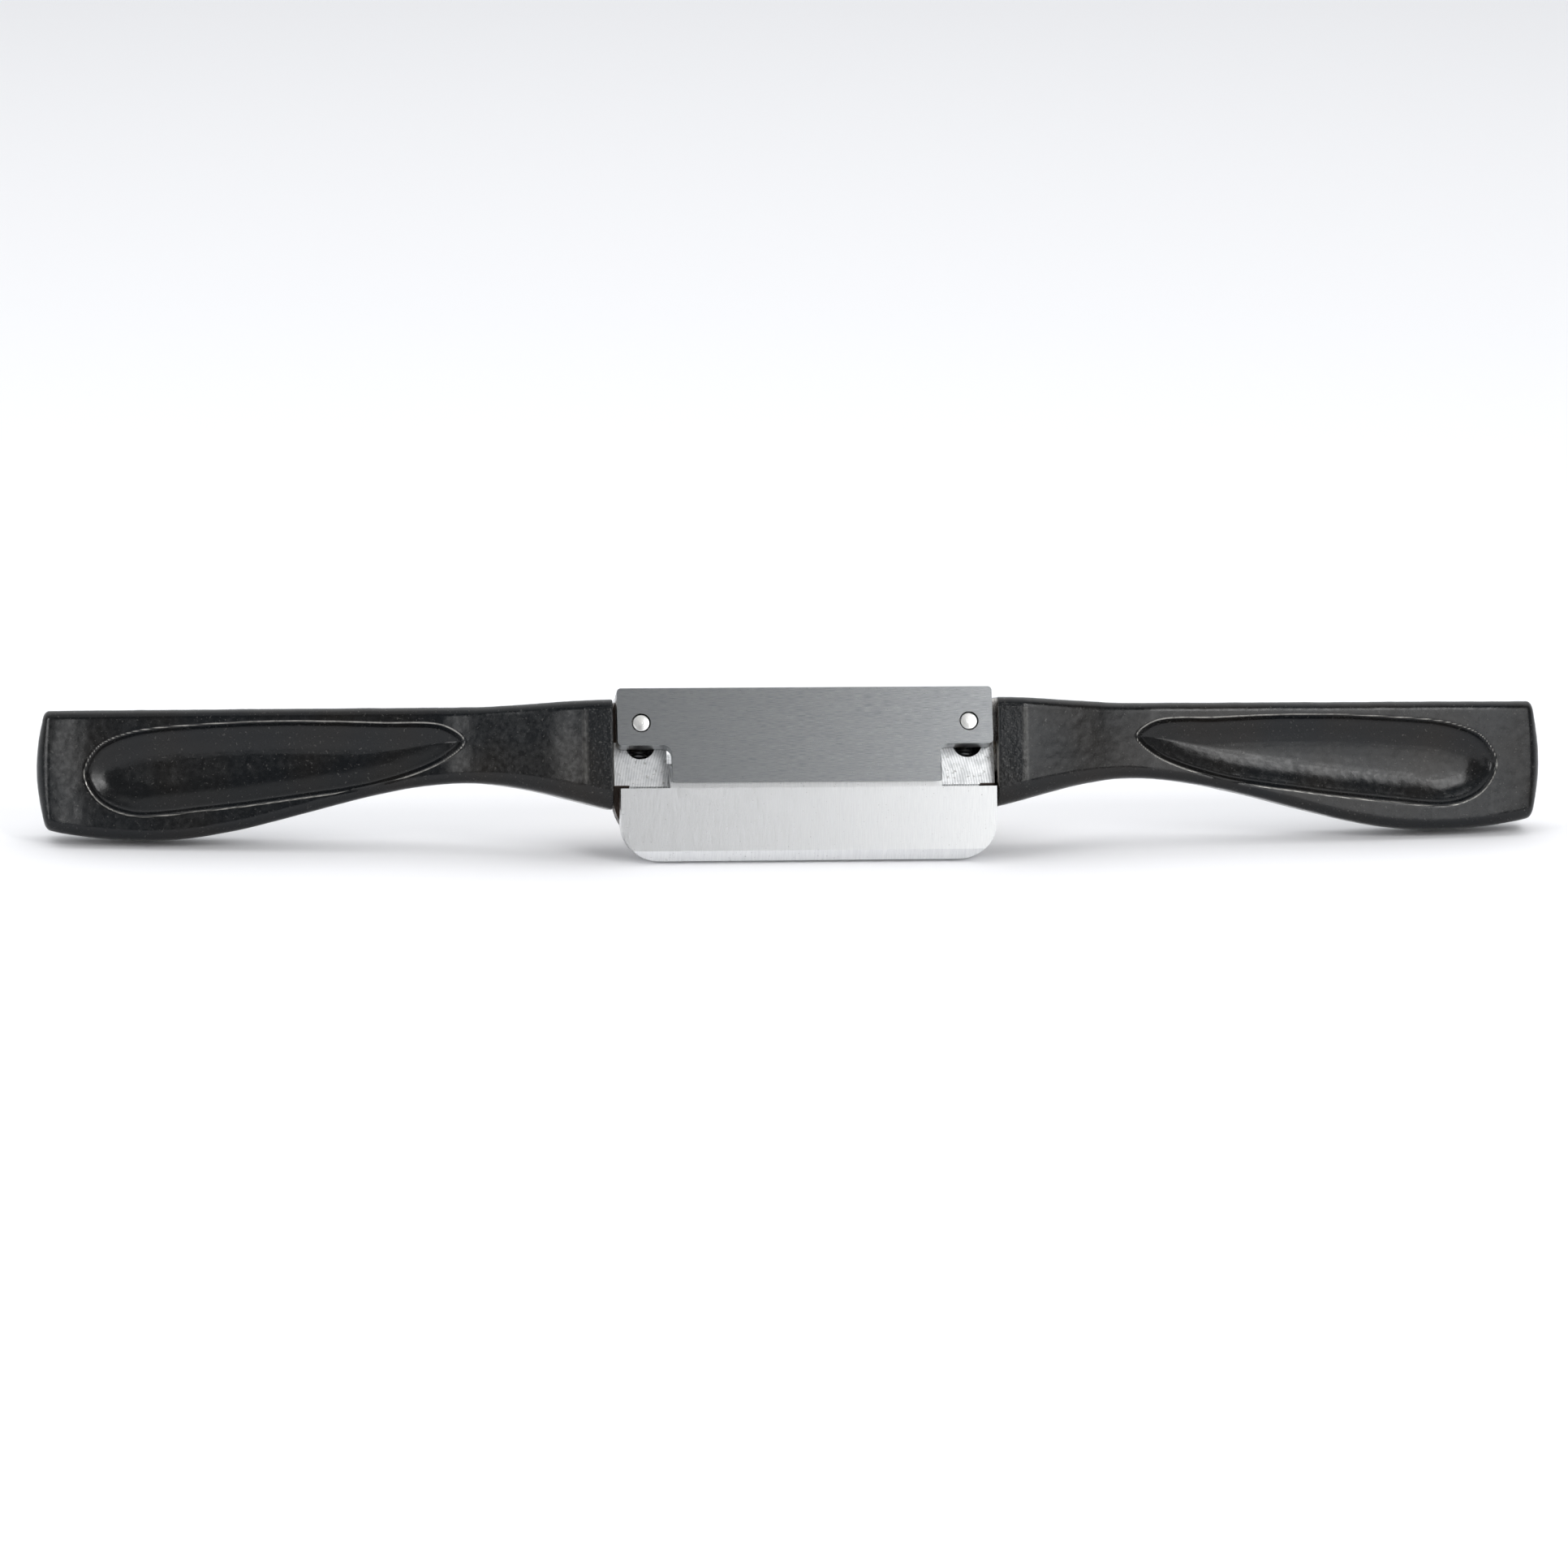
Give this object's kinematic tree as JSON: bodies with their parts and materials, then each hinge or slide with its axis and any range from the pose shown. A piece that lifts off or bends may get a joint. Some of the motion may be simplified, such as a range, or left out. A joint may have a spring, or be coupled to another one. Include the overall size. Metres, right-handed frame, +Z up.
{
  "type": "two-handled plane (spokeshave)",
  "caption": "Two-handled low-angle plane: bare steel centre block with a T-shaped iron, ground toe, brass clamp nuts and black enamelled handles.",
  "frame": {"origin": "centre of the base of the bounding box, on the surface that the tool stands on, resting on the lower edge of its toe and on both grips", "axes": "+X along the handles towards the right handle, as seen from the sole; -Y towards the sole side, which leans back from upright; +Z up"},
  "size_m": [0.25, 0.0288, 0.0274],
  "materials": {
    "enamel": "black stove enamel over a sand-cast surface, satin gloss with fine speckle",
    "machined_steel": "bare milled steel with fine cutter marks",
    "ground_steel": "surface-ground steel, fine upright grinding lines",
    "iron_steel": "hardened tool steel, ground along its width",
    "fastener_steel": "turned bright steel",
    "brass": "turned and knurled brass"
  },
  "bodies": {
    "frame": {"centre_block": "machined_steel", "toe_shoe": "ground_steel", "left_handle": "enamel", "left_handle_screw_inner": "fastener_steel", "left_handle_screw_outer": "fastener_steel", "left_toe_screw": "fastener_steel", "left_toe_dowel": "fastener_steel", "left_lift_spring": "fastener_steel", "right_handle": "enamel", "right_handle_screw_inner": "fastener_steel", "right_handle_screw_outer": "fastener_steel", "right_toe_screw": "fastener_steel", "right_toe_dowel": "fastener_steel", "right_lift_spring": "fastener_steel"},
    "iron_carriage": {"iron": "iron_steel", "left_blade_stud": "fastener_steel", "left_clamp_washer": "fastener_steel", "left_spring_washer": "fastener_steel", "right_blade_stud": "fastener_steel", "right_clamp_washer": "fastener_steel", "right_spring_washer": "fastener_steel"},
    "left_nut": {"left_clamp_nut": "brass"},
    "right_nut": {"right_clamp_nut": "brass"},
    "left_screw": {"left_depth_screw": "fastener_steel"},
    "right_screw": {"right_depth_screw": "fastener_steel"}
  },
  "joints": [
    {"name": "iron_feed", "type": "slide", "parent": "frame", "child": "iron_carriage", "axis": [0, 0.4333, 0.9013], "range_m": [-0.0006, 0.0008], "deforming": ["left_lift_spring", "right_lift_spring"]},
    {"name": "left_nut_turn", "type": "hinge", "parent": "iron_carriage", "child": "left_nut", "pos_m": [-0.0269, 0.00741, 0.01501], "axis": [0, 0.9013, -0.4333], "range_deg": [0, 360]},
    {"name": "right_nut_turn", "type": "hinge", "parent": "iron_carriage", "child": "right_nut", "pos_m": [0.0269, 0.00741, 0.01501], "axis": [0, 0.9013, -0.4333], "range_deg": [0, 360]},
    {"name": "left_screw_turn", "type": "hinge", "parent": "iron_carriage", "child": "left_screw", "pos_m": [-0.0269, 0.00068, 0.02269], "axis": [0, 0.4333, 0.9013], "range_deg": [-437, 581]},
    {"name": "right_screw_turn", "type": "hinge", "parent": "iron_carriage", "child": "right_screw", "pos_m": [0.0269, 0.00068, 0.02269], "axis": [0, 0.4333, 0.9013], "range_deg": [-437, 581]}
  ],
  "couplings": [
    {"joint": "left_screw_turn", "follows": "iron_feed", "rad_per_m": 12566},
    {"joint": "right_screw_turn", "follows": "iron_feed", "rad_per_m": 12566}
  ]
}
